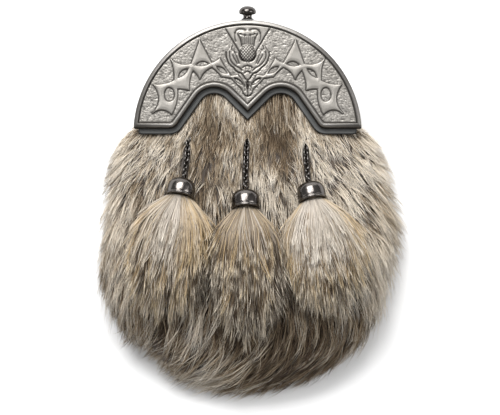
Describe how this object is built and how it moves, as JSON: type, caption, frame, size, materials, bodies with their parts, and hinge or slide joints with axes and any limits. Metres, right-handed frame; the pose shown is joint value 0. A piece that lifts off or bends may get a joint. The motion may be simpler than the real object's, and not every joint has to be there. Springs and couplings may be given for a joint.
{
  "type": "sporran pouch",
  "caption": "Full-dress sporran: long-haired fur pouch under an arched cast cantle with a leather backing, a top knob and fur tassels in bell caps hung on fine chains.",
  "frame": {"origin": "on the outer face of the leather back, at the middle of the sporran's length, on the surface that it lies on", "axes": "+Z out of the fur front, away from the wearer; +Y up the sporran towards the clasp knob; +X to the right of someone facing the front"},
  "size_m": [0.18, 0.2373, 0.0653],
  "materials": {
    "antique_pewter": "antiqued cast pewter, polished relief over a dark pebbled ground",
    "backing_leather": "smooth dark grey leather with a black cut edge",
    "black_nickel": "polished black nickel plate",
    "pouch_fur": "long combed hair in cream, beige, brown and slate on hide",
    "back_leather": "grained black leather",
    "tassel_fur": "paler long hair with tan and brown tips"
  },
  "bodies": {
    "root": {"cantle": "antique_pewter", "cantle_backing": "backing_leather", "clasp_knob": "black_nickel", "pouch_fur": "pouch_fur", "pouch_back": "back_leather", "tassel_chain_left": "black_nickel", "tassel_chain_centre": "black_nickel", "tassel_chain_right": "black_nickel", "tassel_cap_left": "black_nickel", "tassel_cap_centre": "black_nickel", "tassel_cap_right": "black_nickel", "tassel_fur_left": "tassel_fur", "tassel_fur_centre": "tassel_fur", "tassel_fur_right": "tassel_fur"}
  },
  "joints": []
}
